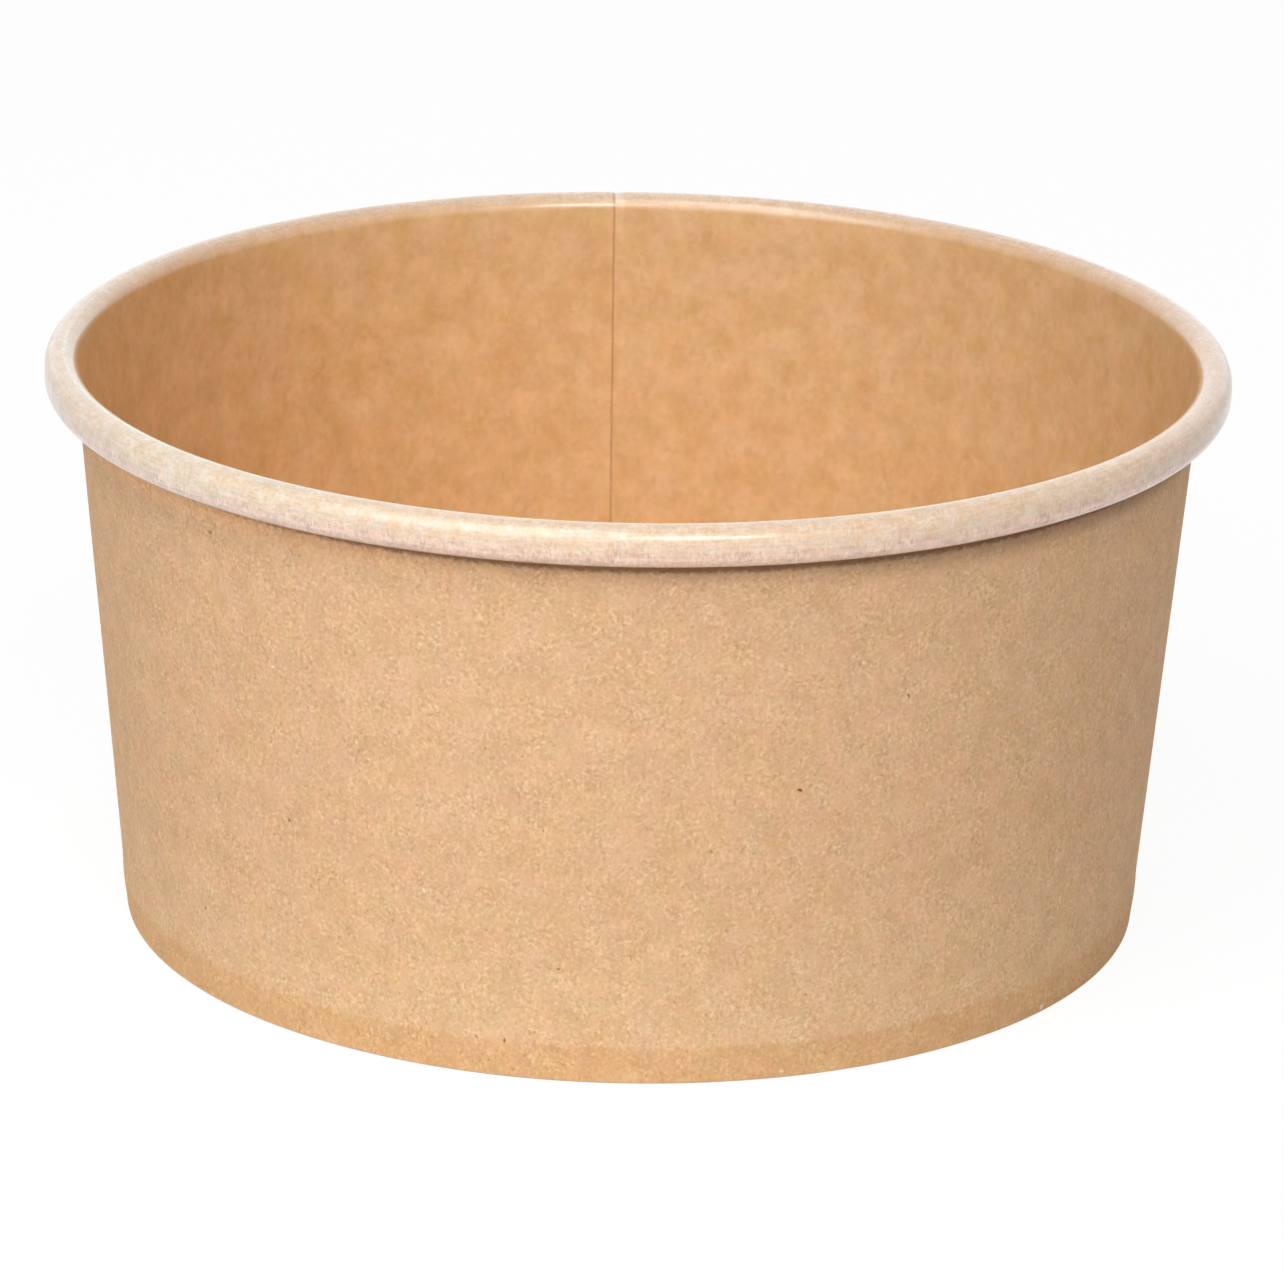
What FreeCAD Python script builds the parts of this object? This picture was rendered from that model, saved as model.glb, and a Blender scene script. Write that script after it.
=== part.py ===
import FreeCAD, Part
import math
import os

# A disposable salad bowl of brown paperboard, in millimetres. The origin is the centre of the ring
# that the bowl stands on, and +Z points up through the mouth. The bowl is two sheets of board: a
# sidewall wrapped from one blank, with a rolled rim above and a hem folded in and up below, and a
# base disc whose flange is clamped between the wall and the hem.

# The bowl
bowl_height = 74.0          # from the table to the top of the rolled rim
rim_diameter = 150.0        # over the rolled rim, which a 150 mm lid snaps over
foot_diameter = 130.0       # outer face of the wall, carried down to the table

# The boards
wall_board = 0.45           # thickness of the sidewall
base_board = 0.40           # thickness of the base disc
seal_gap = 0.08             # coating between the flange and each of its neighbours

# The rolled rim
bead_width = 4.3            # across the roll
bead_flank = 1.15           # straight, upright stretch of its outer side
curl_gap = 0.20             # air between the turns of the roll, and beside the wall
curl_end_turn = 150.0       # how far the innermost turn goes round, in degrees

# The foot
base_depth = 8.0            # from the table up to the floor of the bowl
foot_bend = 0.12            # inside radius of the two folds that the bowl stands on
flange_bend = 0.9           # outer radius of the bend round the edge of the base disc
flange_lift = 0.10          # from the folds up to the cut edge of the flange
hem_clearance = 1.1         # from the cut edge of the hem up to the bend of the base disc

# The side seam
seam_angle = 93.0           # where the blank's inner end lies, in degrees from +X towards +Y
seam_lap = 7.0              # width of the glued overlap
seam_ramp = 2.0             # width over which the outer layer climbs over the inner end
seam_step = 0.30            # height of the inner end above the layer that it lies on
seam_line_width = 0.45      # the same step where the rim is rolled over it
seam_line_depth = 0.15

# The rolled rim's outer turn has a wider upper bend, tangent to the wall's inner face, so the two
# fix how far the wall leans out.
rim_radius = rim_diameter / 2
foot_radius = foot_diameter / 2
bead_radius = bead_width / 2
bead_centre_radius = rim_radius - bead_radius
bead_centre_height = bowl_height - bead_radius
spread = bead_centre_radius - foot_radius
lean = math.asin((bead_radius - wall_board) / math.hypot(spread, bead_centre_height))
lean = math.atan2(spread, bead_centre_height) - lean
lean_sin = math.sin(lean)
lean_cos = math.cos(lean)
up_the_wall = 90 - math.degrees(lean)
down_the_wall = up_the_wall - 180

# Its lower bend brings the board back beside the wall, one curl gap away.
lower_bend_height = bead_centre_height - bead_flank
lower_bend = (rim_radius - foot_radius) * lean_cos - lower_bend_height * lean_sin - curl_gap
lower_bend = lower_bend / (1 + lean_cos)
bead_bottom = lower_bend_height - lower_bend
inner_bend = bead_radius - wall_board - curl_gap
inner_run = bead_flank * lean_cos + (lower_bend - bead_radius) * lean_sin

# The flange and its two coats of seal fill the pocket between the wall and the hem.
pocket = base_board + 2 * seal_gap
fold_centre = wall_board + foot_bend
flange_bend_centre = base_depth - flange_bend
flange_end = fold_centre + flange_lift
hem_height = flange_bend_centre - hem_clearance
wall_start_height = fold_centre - foot_bend * lean_sin


def outer_face(height):
    """Radius of the wall's outer face."""
    return foot_radius + height * lean_sin / lean_cos


def inner_face(height):
    """Radius of the wall's inner face."""
    return outer_face(height) - wall_board / lean_cos


def section_point(radius, height):
    return FreeCAD.Vector(radius, 0, height)


def ahead(heading):
    turn = math.radians(heading)
    return FreeCAD.Vector(math.cos(turn), 0, math.sin(turn))


def to_the_right(heading):
    return ahead(heading - 90)


def sheet_edges(start, heading, steps, depth):
    """Section of a bent sheet, `depth` to the right of its guide face, which runs from `start`.

    A step is ("run", length) or ("bend", radius of the guide face, degrees), where a positive
    bend turns to the right. Headings are in degrees from +X towards +Z.
    """
    point = start
    edges = []
    for step in steps:
        if step[0] == "run":
            shift = to_the_right(heading) * depth
            end = point + ahead(heading) * step[1]
            edges.append(Part.LineSegment(point + shift, end + shift).toShape())
        else:
            kind, radius, turn = step
            side = math.copysign(1, turn)
            centre = point + to_the_right(heading) * (side * radius)
            spokes = [to_the_right(heading - turn * share) * -side for share in (0, 0.5, 1)]
            arc = [centre + spoke * (radius - side * depth) for spoke in spokes]
            edges.append(Part.Arc(*arc).toShape())
            end = centre + spokes[2] * radius
            heading = heading - turn
        point = end
    return edges


def sheet_section(start, heading, steps, near, far):
    """The face between two depths of one bent sheet, cut square at both ends."""
    near_edges = sheet_edges(start, heading, steps, near)
    far_edges = sheet_edges(start, heading, steps, far)
    first_cut = Part.LineSegment(near_edges[0].Vertexes[0].Point, far_edges[0].Vertexes[0].Point)
    last_cut = Part.LineSegment(near_edges[-1].Vertexes[-1].Point, far_edges[-1].Vertexes[-1].Point)
    outline = near_edges + far_edges + [first_cut.toShape(), last_cut.toShape()]
    return Part.Face(Part.Wire(Part.__sortEdges__(outline)))


def turned(section, start_angle, sweep):
    """A section swept about the bowl's axis, in degrees from +X."""
    axis_point = FreeCAD.Vector(0, 0, 0)
    axis = FreeCAD.Vector(0, 0, 1)
    section.rotate(axis_point, axis, start_angle)
    return section.revolve(axis_point, axis, sweep)


def degrees_along(length, radius):
    return math.degrees(length / radius)


def plan_point(radius, angle):
    turn = math.radians(angle)
    return FreeCAD.Vector(radius * math.cos(turn), radius * math.sin(turn), 0)


def wall_block(face, plan, low, high):
    """A block that stands on `plan`, drawn at the table, and narrows as the cone of `face` does."""
    rings = []
    for height in (low, high):
        growth = face(height) / face(0)
        rings.append([point * growth + FreeCAD.Vector(0, 0, height) for point in plan])
    outlines = list(rings)
    for index, corner in enumerate(rings[0]):
        following = (index + 1) % len(plan)
        outlines.append([corner, rings[0][following], rings[1][following], rings[1][index]])
    faces = [Part.Face(Part.makePolygon(outline + outline[:1])) for outline in outlines]
    return Part.makeSolid(Part.makeShell(faces))


def ramp_line(face, rise):
    """Plan of the climb over the blank's inner end: from its top, down to `face`, and on."""
    top = plan_point(face(0) + rise, seam_angle)
    toe = plan_point(face(0), seam_angle - degrees_along(seam_ramp, face(0)))
    return top, toe, top + (toe - top) * 2


def rim_steps(last_bend):
    return [
        ("bend", bead_radius, 90 + up_the_wall),
        ("run", bead_flank),
        ("bend", lower_bend, last_bend),
    ]


def sidewall_sheet():
    """The blank's section from the hem's cut edge to the last turn of the rim, all the way round."""
    guide_start = section_point(inner_face(hem_height) - pocket / lean_cos, hem_height)
    hem_run = (hem_height - fold_centre) / lean_cos - foot_bend * lean_sin / lean_cos
    wall_rise = bead_centre_height + bead_radius * lean_sin - wall_start_height
    foot = [
        ("run", hem_run),
        ("bend", foot_bend, down_the_wall),
        ("run", (pocket - 2 * foot_bend) / lean_cos),
        ("bend", foot_bend, -up_the_wall),
    ]
    wall = [("run", wall_rise / lean_cos)]
    curl = [("run", inner_run), ("bend", inner_bend, curl_end_turn)]
    steps = foot + wall + rim_steps(270 - up_the_wall) + curl
    return turned(sheet_section(guide_start, down_the_wall, steps, 0, wall_board), 0, 360)


def seam_overlap():
    """The blank's outer end, laid over the inner one on the outside of the wall."""
    lap_rise = bead_bottom + curl_gap - wall_start_height
    start = section_point(inner_face(wall_start_height), wall_start_height)
    half_sunk = wall_board / 2
    steps = [("run", lap_rise / lean_cos)]
    section = sheet_section(start, up_the_wall, steps, half_sunk, 2 * wall_board)
    lap_angle = degrees_along(seam_lap, foot_radius)
    ramp_angle = degrees_along(seam_ramp, foot_radius)
    strip = turned(section, seam_angle - 1.7 * ramp_angle, lap_angle + 1.7 * ramp_angle)
    top, toe, beyond = ramp_line(outer_face, wall_board)
    before = top * 2 - toe
    outwards = plan_point(4 * wall_board, seam_angle)
    plan = [before + outwards, beyond + outwards, beyond, before]
    return strip.cut(wall_block(outer_face, plan, -wall_board, bowl_height))


def seam_ramp_cut():
    """The wedge of room beside the blank's inner end, on the inside of the wall."""
    top, toe, beyond = ramp_line(inner_face, seam_step)
    corner = plan_point(inner_face(0) - 2 * seam_step, seam_angle)
    low = flange_bend_centre
    return wall_block(inner_face, [corner, beyond, top], low, bowl_height + seam_step)


def seam_rim_cut():
    """The line that the blank's inner end leaves round the outside of the rolled rim."""
    rise = bead_radius * lean_sin
    radius = bead_centre_radius - bead_radius * lean_cos
    start = section_point(radius, bead_centre_height + rise)
    section = sheet_section(start, up_the_wall, rim_steps(90), -seam_line_depth, seam_line_depth)
    line_angle = degrees_along(seam_line_width, rim_radius)
    return turned(section, seam_angle - line_angle, line_angle)


def sidewall():
    wall = sidewall_sheet().fuse(seam_overlap())
    wall = wall.cut(seam_ramp_cut())
    return wall.cut(seam_rim_cut())


def base_disc():
    """A flat disc with its edge turned down to a flange that follows the wall."""
    flange_face = inner_face(flange_bend_centre) - seal_gap / lean_cos
    flange_drop = flange_bend_centre - flange_bend * lean_sin - flange_end
    steps = [
        ("run", flange_face - flange_bend / lean_cos),
        ("bend", flange_bend, -down_the_wall),
        ("run", flange_drop / lean_cos),
    ]
    return turned(sheet_section(section_point(0, base_depth), 0, steps, 0, base_board), 0, 360)


os.makedirs("parts", exist_ok=True)
nodes = {"sidewall": sidewall(), "base_disc": base_disc()}
for name, shape in nodes.items():
    shape.exportStep("parts/" + name + ".step")
    print(name, "solids", len(shape.Solids), "valid", shape.isValid(), "mm3", round(shape.Volume, 1))
print("lean", round(math.degrees(lean), 3), "rim bottom", round(bead_bottom, 2))
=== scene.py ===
import math
import bpy
from mathutils import Matrix, Vector


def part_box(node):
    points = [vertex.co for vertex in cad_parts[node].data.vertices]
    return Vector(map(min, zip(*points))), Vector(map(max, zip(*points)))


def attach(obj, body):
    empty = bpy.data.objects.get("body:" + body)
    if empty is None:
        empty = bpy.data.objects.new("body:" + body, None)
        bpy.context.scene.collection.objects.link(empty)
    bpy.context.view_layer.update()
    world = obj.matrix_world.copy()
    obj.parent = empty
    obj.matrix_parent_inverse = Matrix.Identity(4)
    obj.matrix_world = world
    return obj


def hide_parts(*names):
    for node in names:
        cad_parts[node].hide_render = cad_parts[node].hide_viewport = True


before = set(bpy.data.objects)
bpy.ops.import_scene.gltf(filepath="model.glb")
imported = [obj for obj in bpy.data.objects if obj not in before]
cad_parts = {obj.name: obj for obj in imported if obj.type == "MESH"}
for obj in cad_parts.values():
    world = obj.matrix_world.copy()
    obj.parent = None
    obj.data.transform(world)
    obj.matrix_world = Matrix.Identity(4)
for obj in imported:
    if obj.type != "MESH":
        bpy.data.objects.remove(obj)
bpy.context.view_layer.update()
mm = 0.001  # lengths are in metres, unless a comment says millimetres

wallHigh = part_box("sidewall")[1]
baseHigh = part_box("base_disc")[1]
rimRadius = wallHigh.x  # over the rolled rim
bowlHeight = wallHigh.z
floorHeight = baseHigh.z

noiseMiddle = 0.5  # the values of a noise lie round this,
noiseReach = 0.25  # most of them this close to it
noiseSpan = (0.3, 0.7)  # and nearly all between these


# nodes written as Python expressions

class Signal:  # one output socket; sums on it add Math nodes beside it
    def __init__(self, bench, socket):
        self.bench = bench
        self.socket = socket

    def math(self, operation, *values):
        sockets = dict(enumerate((self, *values)))
        return self.bench.add("ShaderNodeMath", {"operation": operation}, sockets)

    def after(self, operation, value):  # the same with the other value first
        return self.bench.add("ShaderNodeMath", {"operation": operation}, {0: value, 1: self})

    def __add__(self, other):
        return self.math("ADD", other)

    def __radd__(self, other):
        return self.after("ADD", other)

    def __sub__(self, other):
        return self.math("SUBTRACT", other)

    def __rsub__(self, other):
        return self.after("SUBTRACT", other)

    def __mul__(self, other):
        return self.math("MULTIPLY", other)

    def __rmul__(self, other):
        return self.after("MULTIPLY", other)

    def __truediv__(self, other):
        return self.math("DIVIDE", other)

    def __rtruediv__(self, other):
        return self.after("DIVIDE", other)

    def __gt__(self, other):
        return self.math("GREATER_THAN", other)

    def __lt__(self, other):
        return self.math("LESS_THAN", other)

    def __abs__(self):
        return self.math("ABSOLUTE")

    def ramp(self, start, end, low=0, high=1, kind="LINEAR"):  # held at both ends
        sockets = {"Value": self, "From Min": start, "From Max": end, "To Min": low, "To Max": high}
        settings = {"interpolation_type": kind, "clamp": True}
        return self.bench.add("ShaderNodeMapRange", settings, sockets)

    def ease(self, start, end, low=0, high=1):  # the same climb as an S-curve
        return self.ramp(start, end, low, high, "SMOOTHSTEP")

    def centred(self):  # a noise, moved to lie between -0.5 and 0.5
        return self - noiseMiddle

    def spread(self, depth):  # a noise, made to lie mostly between -depth and depth
        return self.centred() * (depth / noiseReach)

    def part(self, name):  # another output of the same node
        return Signal(self.bench, self.socket.node.outputs[name])


browning = {"green": 1.08, "blue": 1.2}  # how much faster than red these fall in a shade


class Bench:  # a node tree to work on
    def __init__(self, tree):
        self.tree = tree

    def add(self, kind, settings=None, sockets=None):
        node = self.tree.nodes.new(kind)
        for name, value in (settings or {}).items():
            setattr(node, name, value)
        for name, value in (sockets or {}).items():
            if isinstance(value, Signal):
                self.tree.links.new(value.socket, node.inputs[name])
            else:
                node.inputs[name].default_value = value
        return Signal(self, node.outputs[0]) if node.outputs else None

    def mix(self, share, first, second, mode="MIX"):
        settings = {"data_type": "RGBA", "blend_type": mode}
        pair = [value if isinstance(value, Signal) else (*value, 1.0) for value in (first, second)]
        # a Mix node's sockets 6 and 7 and its output 2 are its colours
        mixed = self.add("ShaderNodeMix", settings, {0: share, 6: pair[0], 7: pair[1]})
        return Signal(self, mixed.socket.node.outputs[2])

    def vector(self, x, y, z=0.0):
        return self.add("ShaderNodeCombineXYZ", None, {"X": x, "Y": y, "Z": z})

    def vectorMath(self, operation, *values):
        sockets = dict(enumerate(values))
        return self.add("ShaderNodeVectorMath", {"operation": operation}, sockets)

    def scaled(self, spot, scale):
        sockets = {0: spot, "Scale": scale}
        return self.add("ShaderNodeVectorMath", {"operation": "SCALE"}, sockets)

    def tinted(self, share, colour, tint):  # multiplied by tint, as far as share says
        return self.mix(share, colour, tint, "MULTIPLY")

    def shaded(self, colour, shade):  # board turns browner where it is darker
        green = 1 + (shade - 1) * browning["green"]
        blue = 1 + (shade - 1) * browning["blue"]
        return self.tinted(1.0, colour, self.vector(shade, green, blue))

    def split(self, spot):
        node = self.add("ShaderNodeSeparateXYZ", None, {0: spot})
        return node, node.part("Y"), node.part("Z")

    def noise(self, spot, swell, detail=2.0, roughness=0.5):
        # swell is the length of one wave, in the units of spot
        sockets = {"Vector": spot, "Scale": 1 / swell, "Detail": detail, "Roughness": roughness}
        return self.add("ShaderNodeTexNoise", None, sockets)


def chart(red, green, blue):
    # a colour as a paint chart gives it, 0 to 255, made linear by the sRGB curve
    shares = [value / 255 for value in (red, green, blue)]
    return tuple(c / 12.92 if c <= 0.04045 else ((c + 0.055) / 1.055) ** 2.4 for c in shares)


# the bent section of a board

def ahead(heading):
    return Vector((math.cos(heading), math.sin(heading)))


def bentSection(start, heading, steps):
    # Points on the guide face of a bent board, each with its distance along the board, the name of
    # its step and the direction of the board's other face. A step is (name, length, 0, pieces) or
    # (name, radius, turn to the right, pieces), and the board lies to the right of its guide face.
    corner = Vector(start)
    reached = 0.0
    points = [(corner, 0.0, steps[0][0], ahead(heading - math.pi / 2))]
    for name, size, turn, pieces in steps:
        side = math.copysign(1, turn)
        centre = corner + ahead(heading - math.pi / 2) * side * size
        length = size * abs(turn) if turn else size
        for piece in range(1, pieces + 1):
            share = piece / pieces
            facing = ahead(heading - turn * share - math.pi / 2)
            if turn:
                place = centre - facing * side * size
            else:
                place = corner + ahead(heading) * size * share
            points.append((place, reached + length * share, name, facing))
        corner = points[-1][0]
        reached += length
        heading -= turn
    return points


def guideLine(name, points, lapShares):
    # the section as a row of vertices in the plane y = 0, for the wrapping tree to read
    mesh = bpy.data.meshes.new(name)
    mesh.from_pydata([(place.x, 0, place.y) for place, along, step, facing in points], [], [])
    alongs = [along for place, along, step, facing in points]
    backs = [value for place, along, step, facing in points for value in (facing.x, 0, facing.y)]
    mesh.attributes.new("along", "FLOAT", "POINT").data.foreach_set("value", alongs)
    mesh.attributes.new("lapShare", "FLOAT", "POINT").data.foreach_set("value", lapShares)
    mesh.attributes.new("back", "FLOAT_VECTOR", "POINT").data.foreach_set("vector", backs)
    return mesh


# the tree that wraps a section into a sheet

wrapInputs = {
    "Columns": ("NodeSocketInt", 300),  # points around
    "Lap Columns": ("NodeSocketInt", 0),
    "Ramp Columns": ("NodeSocketInt", 0),
    "Inner End": ("NodeSocketFloat", 0.0),  # where the blank's inner end lies, in radians
    "Lap Turn": ("NodeSocketFloat", 0.0),  # how far the outer end reaches past it
    "Ramp Turn": ("NodeSocketFloat", 0.0),  # over which the outer layer climbs back
    "Lap Rise": ("NodeSocketFloat", 0.0),
    "Lap From": ("NodeSocketFloat", 0.0),  # stretch of the board that has the lap
    "Lap To": ("NodeSocketFloat", 0.0),
    "Round Size": ("NodeSocketFloat", 0.0),  # radius at which the pattern is true, or 0 if flat
    "Unevenness": ("NodeSocketFloat", 0.0),  # most that the sheet draws in
    "Swell Length": ("NodeSocketFloat", 1.0),
    "Seed": ("NodeSocketInt", 1),
    "Finish": ("NodeSocketMaterial", None),
}
mergeDistance = 0.01 * mm  # closes the wrapped grid where its two sides meet
sharpAngle = math.radians(40)  # folds sharper than this are shaded as edges


def makeWrapTree():
    tree = bpy.data.node_groups.new("wrapped blank", "GeometryNodeTree")
    tree.is_modifier = True
    tree.interface.new_socket("Guide", in_out="INPUT", socket_type="NodeSocketGeometry")
    for label, (kind, value) in wrapInputs.items():
        socket = tree.interface.new_socket(label, in_out="INPUT", socket_type=kind)
        if value is not None:
            socket.default_value = value
    tree.interface.new_socket("Sheet", in_out="OUTPUT", socket_type="NodeSocketGeometry")
    bench = Bench(tree)
    given = bench.add("NodeGroupInput")
    size = {label: given.part(label) for label in wrapInputs}
    guide = given.part("Guide")

    # a flat grid: one column of points for each place around, one row for each point along
    count = bench.add("GeometryNodeAttributeDomainSize", {"component": "MESH"}, {"Geometry": guide})
    rows = count.part("Point Count")
    sockets = {"Vertices X": size["Columns"], "Vertices Y": rows}
    grid = bench.add("GeometryNodeMeshGrid", None, sockets)
    index = bench.add("GeometryNodeInputIndex")
    halfway = 0.5  # keeps a rounding error from moving a point to the next column
    column = ((index + halfway) / rows).math("FLOOR")
    row = index - column * rows

    def fromGuide(kind, label=None):
        if label:
            settings = {"data_type": kind}
            value = bench.add("GeometryNodeInputNamedAttribute", settings, {"Name": label})
        else:
            value = bench.add("GeometryNodeInputPosition")
        sockets = {"Geometry": guide, "Value": value, "Index": row}
        return bench.add("GeometryNodeSampleIndex", {"data_type": kind}, sockets)

    radius, _, height = bench.split(fromGuide("FLOAT_VECTOR"))
    backRadius, _, backHeight = bench.split(fromGuide("FLOAT_VECTOR", "back"))
    along = fromGuide("FLOAT", "along")
    lapShare = fromGuide("FLOAT", "lapShare")

    # the place around: the lap, the climb to the inner layer, then once round to the inner end
    climbStart = size["Lap Columns"]
    climbEnd = climbStart + size["Ramp Columns"]
    lastColumn = size["Columns"] - 1
    rest = 2 * math.pi - size["Ramp Turn"]
    angle = size["Inner End"] + size["Lap Turn"] * column.ramp(0, climbStart, 1, 0)
    angle = angle - size["Ramp Turn"] * column.ramp(climbStart, climbEnd)
    angle = angle - rest * column.ramp(climbEnd, lastColumn)
    rise = size["Lap Rise"] * lapShare * column.ease(climbStart, climbEnd, 1, 0)

    # board draws in a little here and there, and never stands proud
    eastward = angle.math("COSINE")
    northward = angle.math("SINE")
    sockets = {"Vector": bench.vector(eastward * radius, northward * radius, height),
               "W": size["Seed"], "Scale": 1 / size["Swell Length"], "Detail": 1.0}
    swell = bench.add("ShaderNodeTexNoise", {"noise_dimensions": "4D"}, sockets)
    drawIn = size["Unevenness"] * swell.ramp(*noiseSpan) * height.ramp(0, bowlHeight)
    sheetRadius = radius + backRadius * rise - drawIn
    sheetHeight = height + backHeight * rise
    spot = bench.vector(eastward * sheetRadius, northward * sheetRadius, sheetHeight)
    sheet = bench.add("GeometryNodeSetPosition", None, {"Geometry": grid, "Position": spot})

    # the pattern's own map, in metres: around and along, or as it lies for a flat disc
    isRound = size["Round Size"] > 0
    isFlat = 1 - isRound
    patternX = isRound * angle * size["Round Size"] + isFlat * eastward * radius
    patternY = isRound * along + isFlat * northward * radius
    sockets = {"Value": bench.vector(patternX, patternY)}
    held = bench.add("GeometryNodeFieldOnDomain", {"data_type": "FLOAT_VECTOR"}, sockets)
    settings = {"data_type": "FLOAT2", "domain": "CORNER"}
    sockets = {"Geometry": sheet, "Name": "patternMap", "Value": held}
    sheet = bench.add("GeometryNodeStoreNamedAttribute", settings, sockets)

    # the hem, the folds and the roll have one layer, so their lap goes
    sockets = {"Value": bench.vector(column, along)}
    held = bench.add("GeometryNodeFieldOnDomain", {"data_type": "FLOAT_VECTOR"}, sockets)
    faceColumn, faceAlong = bench.split(held)[:2]
    hasLap = (faceAlong > size["Lap From"]) * (faceAlong < size["Lap To"])
    spare = (faceColumn < climbStart) * (1 - hasLap)
    sockets = {"Geometry": sheet, "Selection": spare}
    sheet = bench.add("GeometryNodeDeleteGeometry", {"domain": "FACE"}, sockets)
    sockets = {"Geometry": sheet, "Distance": mergeDistance}
    sheet = bench.add("GeometryNodeMergeByDistance", None, sockets)
    sheet = bench.add("GeometryNodeRealizeInstances", None, {"Geometry": sheet})
    sockets = {"Geometry": sheet, "Material": size["Finish"]}
    sheet = bench.add("GeometryNodeSetMaterial", None, sockets)
    bench.add("NodeGroupOutput", None, {"Sheet": sheet})
    return tree


wrapTree = makeWrapTree()


def wrapSheet(name, points, lapShares, sizes, thickness, finishes):
    # the finishes are the food side's, the bare side's and the cut edge's
    sheet = bpy.data.objects.new(name, guideLine(name + " guide", points, lapShares))
    bpy.context.collection.objects.link(sheet)
    wrap = sheet.modifiers.new("wrap", "NODES")
    wrap.node_group = wrapTree
    labels = [item for item in wrapTree.interface.items_tree if item.in_out == "INPUT"]
    for item in labels:
        if item.name in sizes:
            wrap[item.identifier] = sizes[item.name]
        if item.name == "Finish":
            wrap[item.identifier] = finishes[0]
    board = sheet.modifiers.new("board", "SOLIDIFY")
    board.thickness = thickness
    board.offset = -1
    board.use_even_offset = True
    board.use_quality_normals = True
    board.material_offset = 1
    board.material_offset_rim = 2
    for finish in (None, *finishes):  # the tree's grid brings an empty first slot
        sheet.data.materials.append(finish)
    bpy.context.view_layer.update()
    depsgraph = bpy.context.evaluated_depsgraph_get()
    solid = sheet.evaluated_get(depsgraph)
    made = bpy.data.meshes.new_from_object(
        solid, preserve_all_data_layers=True, depsgraph=depsgraph)
    sheet.modifiers.clear()
    sheet.data = made
    while len(made.materials) <= len(finishes):
        made.materials.append(None)
    made.materials.pop(index=0)
    for index, finish in enumerate(finishes):
        made.materials[index] = finish
    made.shade_smooth()
    made.set_sharp_from_angle(angle=sharpAngle)
    print(name, "is made, with", len(made.polygons), "faces")
    return sheet


# the finishes; a noise is given as the length of one wave, its detail and its roughness

strandForm = {  # one strand of pulp in its cell
    "shift": (31.0, 17.0),  # of each layer, so that the strands of two don't coincide
    "bend": 1.6,  # how much it curves, at most
    "edge": (1.2, 0.2),  # where its side begins and is full, in half widths
    "end": (0.45, 0.2),  # where its end begins and is full, in cells from the middle
}

kraftForm = {  # what both sides of the board share
    "secondShare": 0.5,  # of the second pair of colours, against the first
    "cloudDetail": 4.0,
    "cloudRoughness": 0.6,
    "grainDetail": 2.0,
    "grainRoughness": 0.7,
    "grainRelief": 0.7,
    "patchShift": (57.0, 91.0, 0.0),  # puts the patches elsewhere than the clouds
    "patchSpan": (0.35, 0.65),
    "patchDepth": (0.6, 1.4),  # grain and fibres are weaker and stronger from patch to patch
    "lightRelief": 0.6,  # pale strands lie on top, and dark ones deeper
    "darkRelief": -0.4,
    "layers": (  # tone, length and strength of the strands, from the deepest up
        ("light", 1.0, 0.6),
        ("dark", 0.8, 0.5),
        ("light", 0.7, 0.6),
        ("dark", 1.1, 0.5),
        ("light", 1.5, 0.5),
    ),
}


def fibres(bench, flat, length, width, layer):
    # one strand in each cell of a Voronoi pattern, turned and bent by the cell's own colour
    shift = (*(layer * step for step in strandForm["shift"]), 0.0)
    spot = bench.scaled(bench.vectorMath("ADD", flat, shift), 1 / length)
    sockets = {"Vector": spot, "Scale": 1.0}
    cell = bench.add("ShaderNodeTexVoronoi", {"voronoi_dimensions": "2D"}, sockets)
    local = bench.vectorMath("SUBTRACT", spot, cell.part("Position"))
    chance, bend, strength = bench.split(cell.part("Color"))
    sockets = {"Vector": local, "Angle": chance * 2 * math.pi}
    local = bench.add("ShaderNodeVectorRotate", {"rotation_type": "Z_AXIS"}, sockets)
    strand, across = bench.split(local)[:2]
    across = abs(across + bend.centred() * strand * strand * strandForm["bend"])
    halfWidth = width / length
    body = across.ease(*(share * halfWidth for share in strandForm["edge"]))
    ends = abs(strand).ease(*strandForm["end"])
    return body * ends * strength


def kraft(bench, flat, look):
    # the board's colour and its relief, from clouds, grain and layers of fibres
    form = kraftForm
    clouds = bench.noise(flat, look["cloudSize"], form["cloudDetail"], form["cloudRoughness"])
    hue, richness, cloud = bench.split(clouds.part("Color"))
    grain = bench.noise(flat, look["grainSize"], form["grainDetail"], form["grainRoughness"])
    moved = bench.vectorMath("ADD", flat, form["patchShift"])
    patch = bench.noise(moved, look["cloudSize"]).ramp(*form["patchSpan"], *form["patchDepth"])
    firstTone = bench.mix(hue.ramp(*noiseSpan), look["pink"], look["straw"])
    secondTone = bench.mix(richness.ramp(*noiseSpan), look["pale"], look["rich"])
    colour = bench.mix(form["secondShare"], firstTone, secondTone)
    shade = 1 + cloud.centred() * 2 * look["cloudDepth"]
    shade = shade + grain.centred() * patch * 2 * look["grainDepth"]
    colour = bench.shaded(colour, shade)
    relief = grain * form["grainRelief"]
    depth = patch * look["fibreDepth"]
    for layer, (tone, reach, share) in enumerate(form["layers"], start=1):
        strands = fibres(bench, flat, look["fibreLength"] * reach, look["fibreWidth"], layer)
        colour = bench.mix(strands * share * depth, colour, look[tone])
        if layer <= look["raisedLayers"]:
            relief = relief + strands * form[tone + "Relief"]
    return colour, relief


def newFinish(name):
    material = bpy.data.materials.new(name)
    material.use_nodes = True
    material.node_tree.nodes.clear()
    return material, Bench(material.node_tree)


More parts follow.
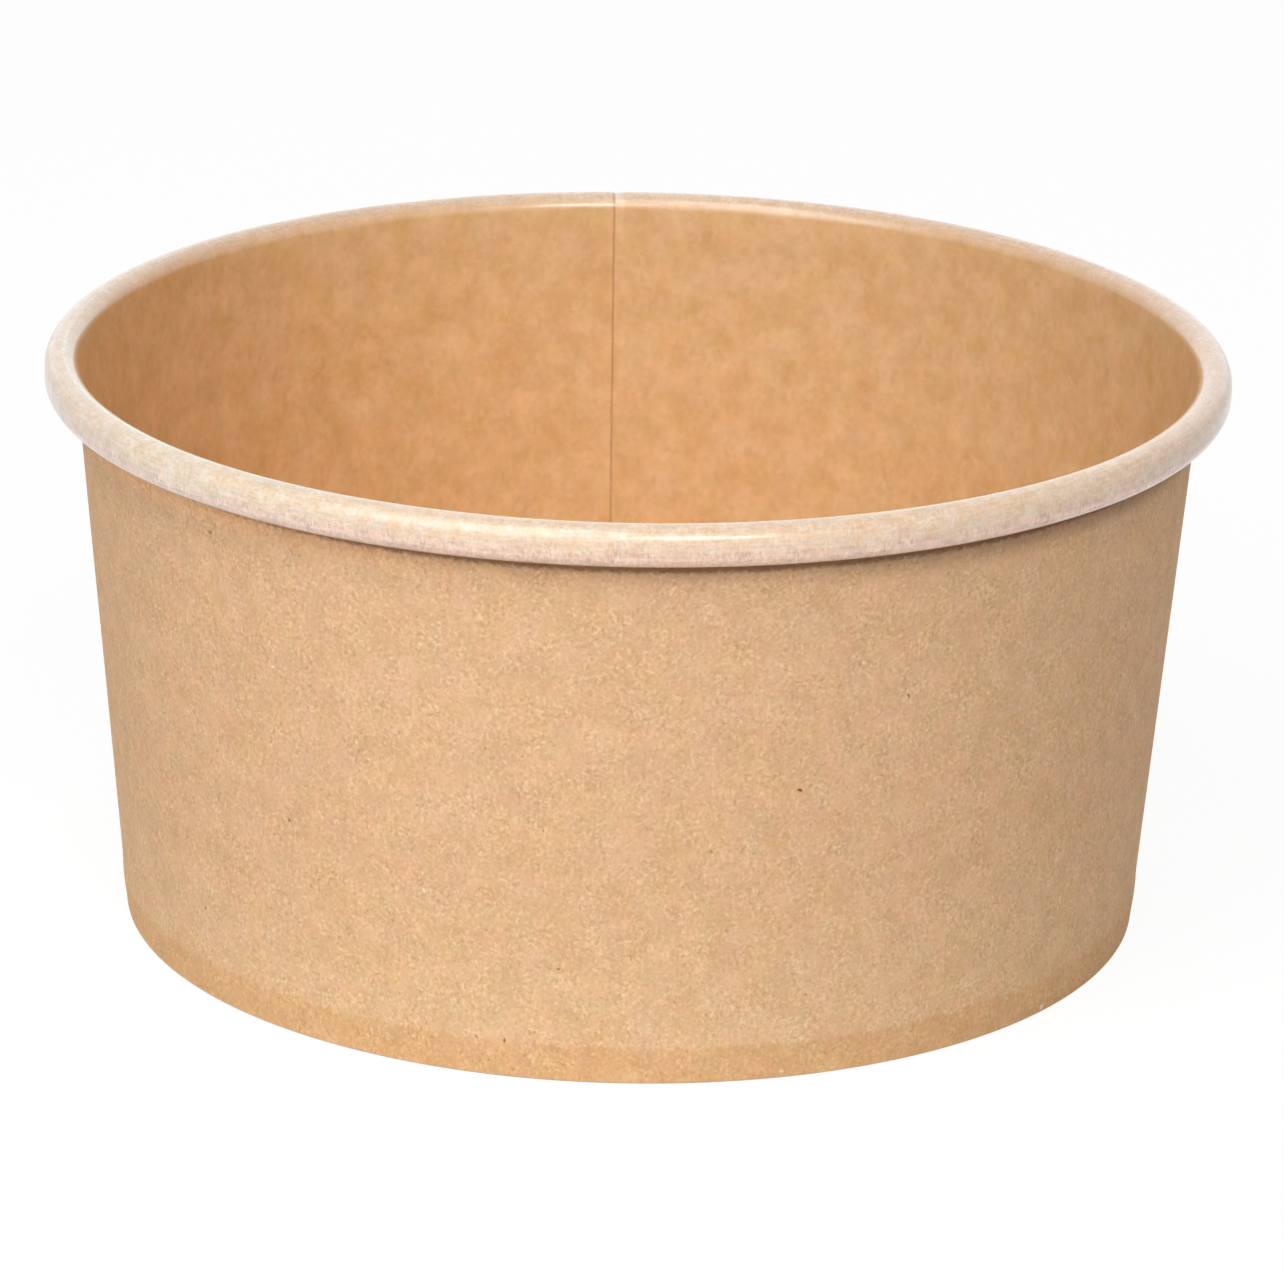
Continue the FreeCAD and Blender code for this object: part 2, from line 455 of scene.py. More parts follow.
def finishSurface(bench, colour, roughness, relief, depth, others=None):
    # depth is the height of the relief in metres; others holds more of the surface's sockets
    bump = {"Height": relief, "Distance": depth, "Strength": 1.0}
    normal = bench.add("ShaderNodeBump", None, bump)
    sockets = {"Base Color": colour, "Roughness": roughness, "Normal": normal}
    sockets.update(others or {})
    surface = bench.add("ShaderNodeBsdfPrincipled", None, sockets)
    bench.add("ShaderNodeOutputMaterial", None, {"Surface": surface})


def patternMap(bench):  # the sheet's own map, in millimetres: around and along
    held = bench.add("ShaderNodeUVMap", {"uv_map": "patternMap"})
    return bench.scaled(held, 1 / mm)


def standingPlace(bench):  # where the point stands in the bowl, in millimetres
    return bench.scaled(bench.add("ShaderNodeTexCoord").part("Object"), 1 / mm)


def toward(east, north, direction):  # 1 at the rim on that side, and -1 on the opposite one
    return (east * direction[0] + north * direction[1]) / (rimRadius / mm)


bareBoardLook = {  # uncoated kraft, as on the outside of the bowl; lengths are in millimetres
    "pink": chart(235, 180, 144),  # clouds drift between these two,
    "straw": chart(222, 186, 134),
    "pale": chart(229, 189, 153),  # and between these
    "rich": chart(227, 177, 125),
    "light": chart(255, 225, 178),
    "dark": chart(188, 133, 84),
    "cloudSize": 4.2,
    "cloudDepth": 0.2,  # of brightness, up and down
    "grainSize": 0.42,
    "grainDepth": 0.2,
    "fibreLength": 1.15,
    "fibreWidth": 0.22,
    "fibreDepth": 0.58,
    "raisedLayers": 3,  # layers of fibres that stand out in relief
    "relief": 0.02,
    "roughness": 0.78,
}

footBand = {  # where the wall is heat sealed over the flange and the hem; in millimetres
    "height": 4.9,
    "softness": 0.5,
    "ragged": (2.5, 4.0, 0.65),  # noise
    "raggedness": 0.35,
    "stain": (0.955, 0.88, 0.76),  # share of each colour that is left
    "blotches": (3.0, 3.0, 0.6),  # noise
    "blotchDepth": (0.6, 1.3),
    "lowFrom": 26.0,  # painted light from the floor: the wall is a little lighter low down
    "lowTo": 8.0,
    "lowLight": (1.02, 1.07, 1.08),
    "edgeLine": (0.6, 0.3),  # where the paler worn line along the fold begins and is full
    "edgeTone": chart(232, 196, 156),
    "edgeShare": 0.5,
}

barkSpecks = {  # bits of bark and pale fibre in the board, outside
    # around in degrees from +X, height, length and width in millimetres, turn in degrees, strength
    "dark": [
        (-72.8, 38.5, 0.85, 0.42, -20, 1.0),
        (-103.0, 5.0, 0.7, 0.36, 80, 0.85),
        (-136.6, 64.0, 0.75, 0.36, -8, 0.65),
        (-127.8, 29.0, 0.65, 0.4, 0, 0.7),
        (-97.2, 15.2, 0.6, 0.36, 20, 0.65),
        (-106.1, 5.1, 0.75, 0.34, -35, 0.55),
        (-61.5, 49.1, 0.75, 0.36, -60, 0.65),
        (-142.5, 12.3, 0.7, 0.4, 30, 0.5),
        (-81.7, 31.1, 0.55, 0.36, -40, 0.5),
    ],
    "pale": [
        (-128.8, 48.9, 0.9, 0.36, 15, 0.8),
        (-111.6, 23.7, 0.8, 0.45, -60, 0.7),
        (-37.5, 0.9, 1.1, 0.8, 10, 0.9),
        (-73.1, 1.0, 0.9, 0.5, 0, 0.6),
    ],
    "darkTone": chart(112, 72, 36),
    "paleTone": chart(252, 234, 212),
    "edge": (1.3, 0.4),  # where a speck's edge begins and is full, in its half widths
    "spacing": 4.4,  # of the small dark ones strewn at random
    "size": 0.3,
    "smallEdge": (0.7, 0.25),  # in sizes
    "smallShare": 0.4,  # of the places that hold one
    "smallStrength": 0.45,
}

creaseShade = {  # painted shade where the wall meets the roll, standing in for the roll's shadow; in millimetres from the table
    "from": 66.95,
    "to": 67.65,
    "shade": (0.42, 0.34, 0.29),
    "eastLift": 0.3,  # how much lower it begins toward +X
    "ragged": (0.8, 3.0, 0.75),  # noise
    "raggedness": 0.3,
    "wideFrom": 64.0,  # a wider, weaker painted shade toward +X
    "wideTo": 67.0,
    "wideSpan": (0.2, 0.85),  # where +X is 1 and -X is -1
    "wideShade": (0.6, 0.57, 0.57),
    "westFrom": 64.0,  # and painted light toward -X
    "westTo": 66.4,
    "westSpan": (0.1, -0.7),
    "westLight": (1.22, 1.15, 1.08),
}


def speck(bench, spot, around, height, length, width, turn, strength):
    centre = (math.radians(around) * rimRadius / mm, height, 0.0)
    sockets = {"Vector": bench.vectorMath("SUBTRACT", spot, centre), "Angle": math.radians(-turn)}
    away = bench.add("ShaderNodeVectorRotate", {"rotation_type": "Z_AXIS"}, sockets)
    away = bench.vectorMath("MULTIPLY", away, (2 / length, 2 / width, 0.0))
    distance = bench.vectorMath("LENGTH", away).part("Value")
    return distance.ease(*barkSpecks["edge"], 0, strength)


def strewn(bench, flat):
    # a small speck in some of the cells of a Voronoi pattern
    spacing = barkSpecks["spacing"]
    sockets = {"Vector": bench.scaled(flat, 1 / spacing), "Scale": 1.0}
    cell = bench.add("ShaderNodeTexVoronoi", {"voronoi_dimensions": "2D"}, sockets)
    chance, _, strength = bench.split(cell.part("Color"))
    edge = [share * barkSpecks["size"] / spacing for share in barkSpecks["smallEdge"]]
    return cell.part("Distance").ease(*edge) * (chance > 1 - barkSpecks["smallShare"]) * strength


def sealedFoot(bench, colour, flat, height):
    # the stained band, painted light on the wall above it and the worn fold below it
    look = footBand
    # painted light, lighter toward the bottom of the wall
    low = height.ramp(look["lowFrom"], look["lowTo"])
    colour = bench.tinted(low, colour, look["lowLight"])
    edge = height + bench.noise(flat, *look["ragged"]).spread(look["raggedness"])
    band = edge.ease(look["height"] + look["softness"], look["height"] - look["softness"])
    blotches = bench.noise(flat, *look["blotches"])
    band = band * blotches.ramp(*noiseSpan, *look["blotchDepth"])
    colour = bench.tinted(band, colour, look["stain"])
    line = height.ease(*look["edgeLine"])
    return bench.mix(line * look["edgeShare"], colour, look["edgeTone"])


def paintedShadeUnderRoll(bench, colour, flat, place, height):
    # painted shade under the roll: a dark line, a wider shade toward +X and painted light toward -X
    look = creaseShade
    level = bench.vectorMath("MULTIPLY", place, (1, 1, 0))
    eastward = bench.split(bench.vectorMath("NORMALIZE", level))[0]
    wide = height.ease(look["wideFrom"], look["wideTo"]) * eastward.ramp(*look["wideSpan"])
    colour = bench.tinted(wide, colour, look["wideShade"])
    lift = height.ease(look["westFrom"], look["westTo"]) * eastward.ramp(*look["westSpan"])
    colour = bench.tinted(lift, colour, look["westLight"])
    ragged = bench.noise(flat, *look["ragged"]).spread(look["raggedness"])
    paintedShadeLine = (height + ragged + eastward * look["eastLift"]).ease(look["from"], look["to"])
    return bench.tinted(paintedShadeLine, colour, look["shade"])


def makeBareBoard():
    material, bench = newFinish("bare kraft board")
    look = bareBoardLook
    flat = patternMap(bench)
    place = standingPlace(bench)
    height = bench.split(place)[2]
    colour, relief = kraft(bench, flat, look)
    colour = sealedFoot(bench, colour, flat, height)
    spot = bench.vector(bench.split(flat)[0], height)
    for kind in ("dark", "pale"):
        for mark in barkSpecks[kind]:
            colour = bench.mix(speck(bench, spot, *mark), colour, barkSpecks[kind + "Tone"])
    small = strewn(bench, flat) * barkSpecks["smallStrength"]
    colour = bench.mix(small, colour, barkSpecks["darkTone"])
    colour = paintedShadeUnderRoll(bench, colour, flat, place, height)
    finishSurface(bench, colour, look["roughness"], relief, look["relief"] * mm)
    return material


rolledLook = {  # stretched round the rim, the board turns pale, and its pale tone also holds painted sheen of the glossy film; lengths are in millimetres
    "paleFrom": 0.2,  # from the top of the wall, along the board
    "paleTo": 2.3,
    "paleRagged": (1.5, 3.0, 0.6),  # noise
    "raggedness": 0.3,
    "cream": chart(244, 219, 194),
    "honey": chart(236, 198, 157),
    "honeySpan": (0.4, 0.62),  # values of the patches' noise, from cream to honey
    "ash": chart(229, 200, 180),
    "ashSpan": (0.48, 0.66),
    "ashShare": 0.6,
    "edge": chart(255, 240, 206),  # painted highlight along the mouth's very edge
    "edgeFrom": 2.4,
    "edgeTo": 3.3,
    "edgeSoftness": 0.4,
    "edgeHighlightToward": (-0.6, -0.8),  # most of all at the front left
    "edgeSpan": (0.0, 0.9),
    "edgeShares": (0.1, 1.0),
    "paintedSideShade": (0.9, 0.83, 0.81),  # painted shade: the roll is darker and pinker at both sides, and toward the back there,
    "paintedSideShadeToward": (0.9, 0.4),
    "paintedSideShadeSpan": (0.45, 0.85),
    "paintedCoolLight": (0.98, 1.08, 1.15),  # and painted cool light makes it whiter at the front of -X
    "paintedCoolLightToward": (-0.9, -0.3),
    "paintedCoolLightSpan": (0.5, 0.85),
    "sideFrom": 7.2,  # here it turns down the outer side, where it is creased and pinker
    "sideSoftness": 0.35,
    "rose": chart(249, 214, 188),
    "mauve": chart(229, 191, 172),
    "mauveSpan": (0.4, 0.6),
    "patches": (2.0, 5.0, 0.72),  # noise
    "ridge": 8.2,  # a pale line along the roll
    "ridgeRagged": 0.5,  # share of the raggedness that it has
    "ridgeWidth": 0.4,
    "ridgeLight": 0.1,
    "specks": (0.5, 3.0, 0.8),  # noise
    "speckDepth": 0.95,
    "speckRelief": 6.0,
    "streaks": (0.4, 2.0, 0.6),  # noise, scaled round the rim to make it long
    "streakScale": 0.12,
    "streakDepth": 0.4,
    "streakRelief": 4.0,
    "creases": (0.4, 3.0, 0.75),  # noise, scaled across the roll
    "creaseScale": 0.35,
    "creaseDepth": 0.5,
    "creaseRelief": 4.0,
    "creasePatchSize": 3.0,
    "creasePatchSpan": (0.35, 0.65),
    "creasePatchDepth": (0.3, 1.3),
    "creaseAbove": 0.3,  # share of the creases' depth on top of the roll
    "creaseReliefAbove": 0.6,
    "shadeFrom": 9.3,  # painted shade on the roll's underside
    "shadeTo": 9.9,
    "shade": 0.45,
    "coat": 1.0,
    "coatFull": 0.8,  # where the film lies thickest, stretched and hot pressed
}


def rolledTone(bench, flat, past, east, north):
    # the colour and the relief of the rolled rim; past is how far round the roll, in millimetres
    look = rolledLook
    patches = bench.noise(flat, *look["patches"]).part("Color")
    hue, depth, cloud = bench.split(patches)
    ragged = cloud.spread(look["raggedness"])

    # the top of the roll, with the painted highlight at its edge, and its outer side
    upper = bench.mix(hue.ramp(*look["honeySpan"]), look["cream"], look["honey"])
    upper = bench.mix(depth.ramp(*look["ashSpan"], 0, look["ashShare"]), upper, look["ash"])
    # painted highlight along the mouth's edge, strongest at the front left
    softness = look["edgeSoftness"]
    edge = past.ease(look["edgeFrom"], look["edgeFrom"] + softness)
    edge = edge * past.ease(look["edgeTo"], look["edgeTo"] - softness)
    facing = toward(east, north, look["edgeHighlightToward"])
    edge = edge * facing.ramp(*look["edgeSpan"], *look["edgeShares"])
    upper = bench.mix(edge, upper, look["edge"])
    lower = bench.mix(hue.ramp(*look["mauveSpan"]), look["rose"], look["mauve"])
    side = (past + ragged).ease(look["sideFrom"], look["sideFrom"] + look["sideSoftness"])
    tone = bench.mix(side, upper, lower)

    # painted shade at both sides and painted cool light at the front of -X
    paintedSideShade = toward(abs(east), north, look["paintedSideShadeToward"]).ramp(*look["paintedSideShadeSpan"])
    tone = bench.tinted(paintedSideShade, tone, look["paintedSideShade"])
    paintedCoolLight = toward(east, north, look["paintedCoolLightToward"]).ramp(*look["paintedCoolLightSpan"])
    tone = bench.tinted(paintedCoolLight, tone, look["paintedCoolLight"])

    # creases across it, streaks round it, specks, a ridge and painted shade underneath
    around, along = bench.split(flat)[:2]
    spot = bench.vector(around, along * look["creaseScale"])
    creases = bench.noise(spot, *look["creases"]).ramp(*noiseSpan).centred()
    patch = bench.noise(flat, look["creasePatchSize"])
    creases = creases * patch.ramp(*look["creasePatchSpan"], *look["creasePatchDepth"])
    spot = bench.vector(around * look["streakScale"], along)
    streaks = bench.noise(spot, *look["streaks"]).centred()
    specks = bench.noise(flat, *look["specks"]).centred()
    shade = 1 + specks * look["speckDepth"] + streaks * look["streakDepth"]
    shade = shade + creases * side.ramp(0, 1, look["creaseAbove"], 1) * look["creaseDepth"]
    ridge = abs(past + ragged * look["ridgeRagged"] - look["ridge"]).ease(look["ridgeWidth"], 0.0)
    shade = shade + ridge * look["ridgeLight"]
    # painted shade on the underside of the roll
    shade = shade * past.ease(look["shadeFrom"], look["shadeTo"], 1, look["shade"])
    relief = creases * side.ramp(0, 1, look["creaseReliefAbove"], 1) * look["creaseRelief"]
    relief = relief + specks * look["speckRelief"] + streaks * look["streakRelief"]
    return bench.shaded(tone, shade), relief


seamLine = {  # painted shadow along the seam's inner end and painted light beside it; in millimetres
    "turn": math.radians(93),  # from +X towards +Y
    "width": 0.45,  # of the painted shadow line over the roll
    "edge": (0.6, 0.2),  # where its edge begins and is full, in widths
    "shade": (0.82, 0.75, 0.68),
    "inside": 0.6,  # how much of the line shows below the roll
    "insideTo": (-0.2, 0.3),  # where it grows to the whole line, along the board
    "paleWidth": 1.7,  # of the strip of painted light beside it
    "paleNear": (0.3, 0.7),  # in widths of the line
    "paleFar": 0.6,  # share of the strip that is full
    "paleFrom": 60.0,  # the strip fades out down the wall
    "paleOver": (3.6, 2.6),  # and over the top of the roll
    "pale": (1.1, 1.16, 1.26),
}


def seamPaintedShadeAndLight(bench, colour, past, east, north, height):
    # the painted shadow line at the inner end and the strip of painted light beside it, on the side
    # toward +Y
    look = seamLine
    width = look["width"]
    beside = east * math.sin(look["turn"]) - north * math.cos(look["turn"])
    line = abs(beside).ease(*(share * width for share in look["edge"])) * (north > 0)
    line = line * past.ramp(*look["insideTo"], look["inside"])
    colour = bench.tinted(line, colour, look["shade"])
    paintedLightStrip = beside.ease(*(share * width for share in look["paleNear"]))
    paintedLightStrip = paintedLightStrip * beside.ease(look["paleWidth"], look["paleWidth"] * look["paleFar"])
    paintedLightStrip = paintedLightStrip * (north > 0) * past.ramp(*look["paleOver"])
    paintedLightStrip = paintedLightStrip * height.ease(look["paleFrom"], bowlHeight / mm)
    return bench.tinted(paintedLightStrip, colour, look["pale"])


filmedBoardLook = {  # the same board under the thin film of the food side
    "pink": chart(231, 180, 134),
    "straw": chart(225, 189, 129),
    "pale": chart(238, 202, 164),
    "rich": chart(216, 166, 106),
    "light": chart(239, 205, 163),
    "dark": chart(202, 150, 101),
    "cloudSize": 4.2,
    "cloudDepth": 0.18,
    "grainSize": 1.0,
    "grainDepth": 0.08,
    "fibreLength": 2.2,
    "fibreWidth": 0.5,
    "fibreDepth": 0.3,
    "raisedLayers": 2,
    "relief": 0.011,
    "roughness": 0.42,
    "roughnessDepth": 0.2,  # from smoothest to roughest
    "roughnessSize": 4.0,
    "coat": 0.25,
    "coatRoughness": 0.17,
    "paintedWestLight": (1.11, 1.08, 1.02),  # painted light and shade: the wall is lighter and yellower toward -X and darker toward +X
    "paintedEastShade": (0.9, 0.91, 0.9),
    "tintSpan": (-0.6, 0.9),  # from one to the other, where +X is 1 and -X is -1
}


def makeFilmedBoard(rollFrom=None):
    # rollFrom is how far along the board the rolled rim begins, in millimetres
    material, bench = newFinish("filmed kraft board" if rollFrom is None else "filmed kraft wall")
    look = filmedBoardLook
    flat = patternMap(bench)
    colour, relief = kraft(bench, flat, look)
    cloud = bench.noise(flat, look["roughnessSize"]).centred()
    roughness = look["roughness"] + cloud * look["roughnessDepth"]
    coat = look["coat"]
    if rollFrom is not None:
        past = bench.split(flat)[1] - rollFrom
        east, north, height = bench.split(standingPlace(bench))
        # painted light toward -X and painted shade toward +X
        eastward = toward(east, north, (1, 0)).ramp(*look["tintSpan"])
        tint = bench.mix(eastward, look["paintedWestLight"], look["paintedEastShade"])
        colour = bench.tinted(1.0, colour, tint)
        tone, wrinkles = rolledTone(bench, flat, past, east, north)
        ragged = bench.noise(flat, *rolledLook["paleRagged"])
        paling = past + ragged.spread(rolledLook["raggedness"])
        paling = paling.ramp(rolledLook["paleFrom"], rolledLook["paleTo"])
        # the roll's pale tone: partly the stretched board's whitening, partly painted sheen
        colour = bench.mix(paling, colour, tone)
        colour = seamPaintedShadeAndLight(bench, colour, past, east, north, height)
        relief = relief + wrinkles * paling
        coat = past.ramp(0.0, rolledLook["coatFull"], look["coat"], rolledLook["coat"])
    coating = {"Coat Weight": coat, "Coat Roughness": look["coatRoughness"]}
    finishSurface(bench, colour, roughness, relief, look["relief"] * mm, coating)
    return material


cutEdgeLook = {  # the plies at a cut edge; lengths are in millimetres
    "pale": chart(214, 178, 138),
    "dark": chart(186, 138, 92),
    "plies": (0.25, 3.0, 0.7),  # noise
    "relief": 0.03,
    "roughness": 0.9,
}


def makeCutEdge():
    material, bench = newFinish("cut board edge")
    look = cutEdgeLook
    plies = bench.noise(patternMap(bench), *look["plies"])
    colour = bench.mix(plies.ramp(*noiseSpan), look["pale"], look["dark"])
    finishSurface(bench, colour, look["roughness"], plies, look["relief"] * mm)
    return material


bareBoard = makeBareBoard()
cutEdge = makeCutEdge()
print("finishes made")


# the sidewall: a blank wrapped once round, with a rolled rim and a folded hem

wall = {
    "footRadius": 65.0 * mm,  # outer face, carried down to the table
    "board": 0.45 * mm,
    "beadWidth": 4.3 * mm,
    "beadFlank": 1.15 * mm,  # straight stretch of the roll's outer side
    "curlGap": 0.2 * mm,
    "curlEndTurn": math.radians(150),
    "foldRadius": 0.12 * mm,
    "pocket": 0.56 * mm,  # room for the base disc's flange
    "hemHeight": 6.0 * mm,
    "footBulge": 0.12 * mm,  # how far the three layers of the foot push the wall out
    "bulgeFrom": 0.5 * mm,
    "bulgeFull": 4.4 * mm,
    "bulgeEnd": 7.4 * mm,
    "innerEnd": math.radians(93),  # where the blank's inner end lies, from +X towards +Y
    "lapWidth": 7.0 * mm,
    "lapTaper": 2.0 * mm,  # over which the lap's rise grows from the foot
    "lapLeast": 0.02,  # share of the rise that it starts with
    "lapStop": 3.4 * mm,  # the lap ends this far below the roll
    "rampWidth": 2.0 * mm,
    "rollStep": 0.1 * mm,  # the seam's step where the rim is rolled over it
    "seamRise": 0.13 * mm,  # the seam's step inside, as its glued layers are pressed together
    "unevenness": 0.10 * mm,
    "swellLength": 34.0 * mm,
    "columns": 300,
    "lapColumns": 5,
    "rampColumns": 6,
}

board = wall["board"]
beadRadius = wall["beadWidth"] / 2
beadCentreHeight = bowlHeight - beadRadius
spread = rimRadius - beadRadius - wall["footRadius"]
reach = math.hypot(spread, beadCentreHeight)
lean = math.atan2(spread, beadCentreHeight) - math.asin((beadRadius - board) / reach)
leanSin = math.sin(lean)
leanCos = math.cos(lean)
upTheWall = math.pi / 2 - lean
lowerBendHeight = beadCentreHeight - wall["beadFlank"]
lowerBend = (rimRadius - wall["footRadius"]) * leanCos - lowerBendHeight * leanSin - wall["curlGap"]
lowerBend = lowerBend / (1 + leanCos)
innerBend = beadRadius - board - wall["curlGap"]
innerRun = wall["beadFlank"] * leanCos + (lowerBend - beadRadius) * leanSin
foldCentre = board + wall["foldRadius"]
wallStart = foldCentre - wall["foldRadius"] * leanSin


def innerFace(height):  # radius of the wall's inner face
    return wall["footRadius"] + height * math.tan(lean) - board / leanCos


def smooth(value, start, end):  # an S-curve from 0 to 1
    share = min(1.0, max(0.0, (value - start) / (end - start)))
    return share * share * (3 - 2 * share)


def makeSidewall():
    fold = wall["foldRadius"]
    hemRun = (wall["hemHeight"] - foldCentre) / leanCos - fold * leanSin / leanCos
    wallRise = beadCentreHeight + beadRadius * leanSin - wallStart
    steps = [
        ("hem", hemRun, 0, 5),
        ("fold", fold, -(math.pi / 2 + lean), 5),
        ("fold", (wall["pocket"] - 2 * fold) / leanCos, 0, 1),
        ("fold", fold, -(math.pi / 2 - lean), 5),
        ("wall", wall["bulgeEnd"], 0, 16),
        ("wall", wallRise / leanCos - wall["bulgeEnd"], 0, 28),
        ("roll", beadRadius, math.pi - lean, 20),
        ("roll", wall["beadFlank"], 0, 1),
        ("roll", lowerBend, math.pi + lean, 16),
        ("roll", innerRun, 0, 1),
        ("roll", innerBend, wall["curlEndTurn"], 9),
    ]
    start = (innerFace(wall["hemHeight"]) - wall["pocket"] / leanCos, wall["hemHeight"])
    points = bentSection(start, upTheWall - math.pi, steps)
    for place, along, step, facing in points:
        if step == "wall":
            swell = wall["footBulge"] * smooth(place.y, wall["bulgeFrom"], wall["bulgeFull"])
            place.x += swell * smooth(place.y, wall["bulgeEnd"], wall["bulgeFull"])
    wallStretch = [along for place, along, step, facing in points if step == "wall"]
    wallFrom = wallStretch[0]
    wallTo = wallStretch[-1]
    lapShares = []
    for place, along, step, facing in points:
        if step in ("hem", "fold"):
            lapShares.append(0.0)
        elif step == "wall":
            grown = (place.y - wallStart) / wall["lapTaper"]
            lapShares.append(min(1.0, max(wall["lapLeast"], grown)))
        else:
            fade = min(1.0, (along - wallTo) / beadRadius)
            lapShares.append(1.0 + (wall["rollStep"] / wall["seamRise"] - 1.0) * fade)
    sizes = {
        "Columns": wall["columns"],
        "Lap Columns": wall["lapColumns"],
        "Ramp Columns": wall["rampColumns"],
        "Inner End": wall["innerEnd"],
        "Lap Turn": wall["lapWidth"] / wall["footRadius"],
        "Ramp Turn": wall["rampWidth"] / wall["footRadius"],
        "Lap Rise": wall["seamRise"],
        "Lap From": wallFrom,
        "Lap To": wallTo - wall["lapStop"],
        "Round Size": rimRadius,
        "Unevenness": wall["unevenness"],
        "Swell Length": wall["swellLength"],
        "Seed": 7,
    }
    finishes = [makeFilmedBoard(wallTo / mm), bareBoard, cutEdge]
    return wrapSheet("rolledSidewall", points, lapShares, sizes, board, finishes)


sidewall = makeSidewall()
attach(sidewall, "root")
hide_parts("sidewall")


# the base disc: pressed flat, with its edge turned down between the wall and the hem

base = {
    "board": 0.4 * mm,
    "seal": 0.08 * mm,  # between the flange and each of its neighbours
    "bend": 0.9 * mm,  # outer radius of the turned edge
    "flangeLift": 0.1 * mm,
    "columns": 240,
}


def makeBase():
    bendCentre = floorHeight - base["bend"]
    flangeEnd = foldCentre + base["flangeLift"]
    flangeFace = innerFace(bendCentre) - base["seal"] / leanCos
    flangeDrop = bendCentre - base["bend"] * leanSin - flangeEnd
    steps = [
        ("floor", flangeFace - base["bend"] / leanCos, 0, 22),
        ("bend", base["bend"], math.pi / 2 + lean, 8),
        ("flange", flangeDrop / leanCos, 0, 4),
    ]
    points = bentSection((0, floorHeight), 0, steps)
    sizes = {"Columns": base["columns"], "Seed": 3}
    finishes = [makeFilmedBoard(), bareBoard, cutEdge]
    return wrapSheet("flangedBase", points, [0.0] * len(points), sizes, base["board"], finishes)


baseDisc = makeBase()
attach(baseDisc, "root")
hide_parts("base_disc")
print("bowl made")


# camera, light and floor

studio = {  # in metres, but the lens and the sensor in millimetres
    "cameraPlace": (0.0, -0.8417, 0.3251),
    "aim": (0.0011, 0.0, 0.0343),
    "roll": math.radians(1.06),
    "lens": 194.5,
    "sensor": 36.0,
    "clip": (0.01, 100.0),
    "worldLight": 0.05,
    "lampDistance": 1.3,
    "lamps": {
        # name: (degrees round from the front to the right, degrees up, metres wide, watts)
        "leftLamp": (-36, 38, 0.9, 4.0),
        "rightLamp": (13, 38, 0.5, 4.7),
        "softLamp": (-25, 40, 1.6, 6.4),
        "topLamp": (-30, 65, 0.6, 2.4),
        "backLamp": (180, 30, 2.0, 3.1),
    },
    "plainLamps": {  # these light the far side, and no gloss shows them
        "backLeftLamp": (-150, 15, 2.0, 1.0),
        "backRightLamp": (155, 10, 1.6, 4.0),
    },
    "floorSize": 12.0,
    "floorShade": 0.12,  # how much of the floor's white is left to the light and the shadow
    "floorColour": (0.85, 0.85, 0.85, 1.0),
    "floorGlow": 1.05,
}


def aimed(place, target, roll=0.0):
    # an object at place that looks down its own -Z at target
    turn = (Vector(target) - Vector(place)).to_track_quat("-Z", "Y").to_matrix().to_4x4()
    return Matrix.Translation(place) @ turn @ Matrix.Rotation(roll, 4, "Z")


def makeCamera():
    data = bpy.data.cameras.new("camera")
    data.sensor_width = studio["sensor"]
    data.lens = studio["lens"]
    data.clip_start, data.clip_end = studio["clip"]
    camera = bpy.data.objects.new("camera", data)
    bpy.context.collection.objects.link(camera)
    camera.matrix_world = aimed(studio["cameraPlace"], studio["aim"], studio["roll"])
    bpy.context.scene.camera = camera


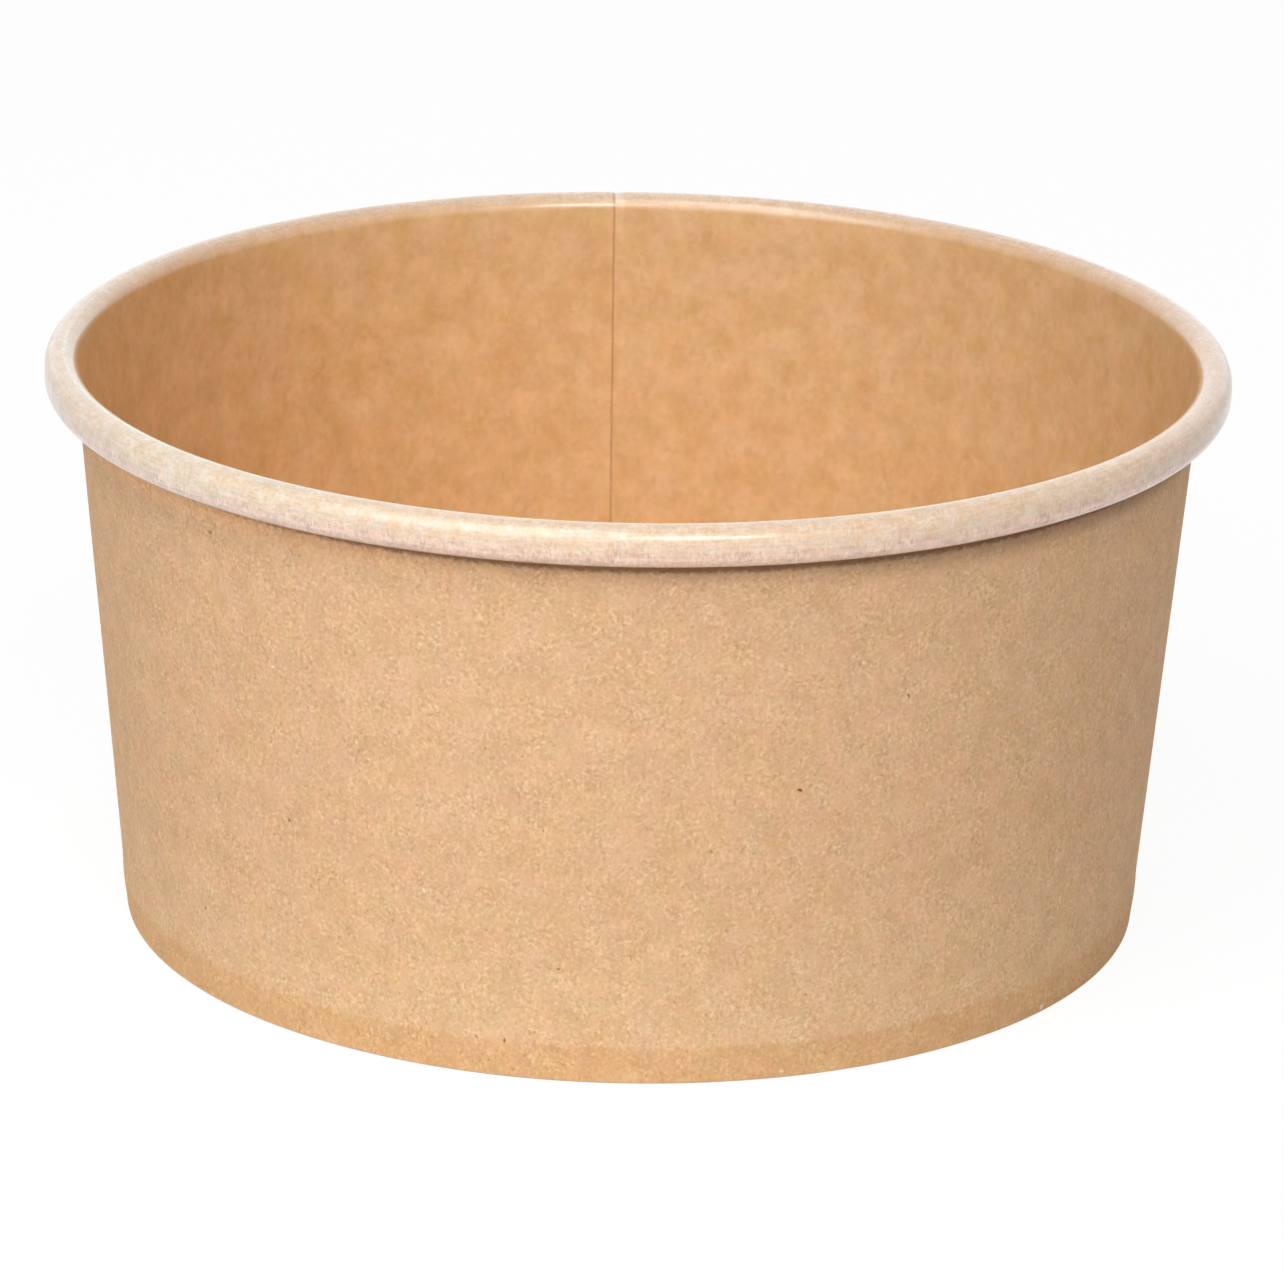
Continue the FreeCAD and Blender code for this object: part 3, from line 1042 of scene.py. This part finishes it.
def makeLamps():
    middle = Vector((0, 0, bowlHeight / 2))
    lamps = {**studio["lamps"], **studio["plainLamps"]}
    for name, (around, up, width, power) in lamps.items():
        data = bpy.data.lights.new(name, "AREA")
        data.shape = "DISK"
        data.size = width
        data.energy = power
        lamp = bpy.data.objects.new(name, data)
        bpy.context.collection.objects.link(lamp)
        turn = math.radians(around)
        climb = math.radians(up)
        flat = math.cos(climb)
        away = Vector((math.sin(turn) * flat, -math.cos(turn) * flat, math.sin(climb)))
        lamp.matrix_world = aimed(middle + away * studio["lampDistance"], middle)
        lamp.visible_camera = False
        lamp.visible_glossy = name in studio["lamps"]


white = (1.0, 1.0, 1.0, 1.0)


def seenDirectly(bench):  # 1 for the camera and for what mirrors and clear things show
    path = bench.add("ShaderNodeLightPath")
    seen = path.math("MAXIMUM", path.part("Is Glossy Ray"))
    return seen.math("MAXIMUM", path.part("Is Transmission Ray"))


def makeWorld():
    world = bpy.data.worlds.new("studio")
    world.use_nodes = True
    world.node_tree.nodes.clear()
    bench = Bench(world.node_tree)
    strength = seenDirectly(bench).ramp(0, 1, studio["worldLight"], 1)
    light = bench.add("ShaderNodeBackground", None, {"Color": white, "Strength": strength})
    bench.add("ShaderNodeOutputWorld", None, {"Surface": light})
    bpy.context.scene.world = world


def makeFloor():
    half = studio["floorSize"] / 2
    mesh = bpy.data.meshes.new("floor")
    corners = [(-half, -half, 0), (half, -half, 0), (half, half, 0), (-half, half, 0)]
    mesh.from_pydata(corners, [], [(0, 1, 2, 3)])
    floor = bpy.data.objects.new("floor", mesh)
    bpy.context.collection.objects.link(floor)
    material, bench = newFinish("white floor")
    lit = bench.add("ShaderNodeBsdfDiffuse", None, {"Color": studio["floorColour"]})
    sockets = {"Color": white, "Strength": studio["floorGlow"]}
    glow = bench.add("ShaderNodeEmission", None, sockets)
    share = seenDirectly(bench) * (1 - studio["floorShade"])
    surface = bench.add("ShaderNodeMixShader", None, {0: share, 1: lit, 2: glow})
    behind = bench.add("ShaderNodeNewGeometry").part("Backfacing")  # clear from below
    clear = bench.add("ShaderNodeBsdfTransparent", None, {"Color": white})
    surface = bench.add("ShaderNodeMixShader", None, {0: behind, 1: surface, 2: clear})
    bench.add("ShaderNodeOutputMaterial", None, {"Surface": surface})
    mesh.materials.append(material)


makeCamera()
makeLamps()
makeWorld()
makeFloor()
bpy.context.scene.view_settings.view_transform = "Standard"
print("studio made")
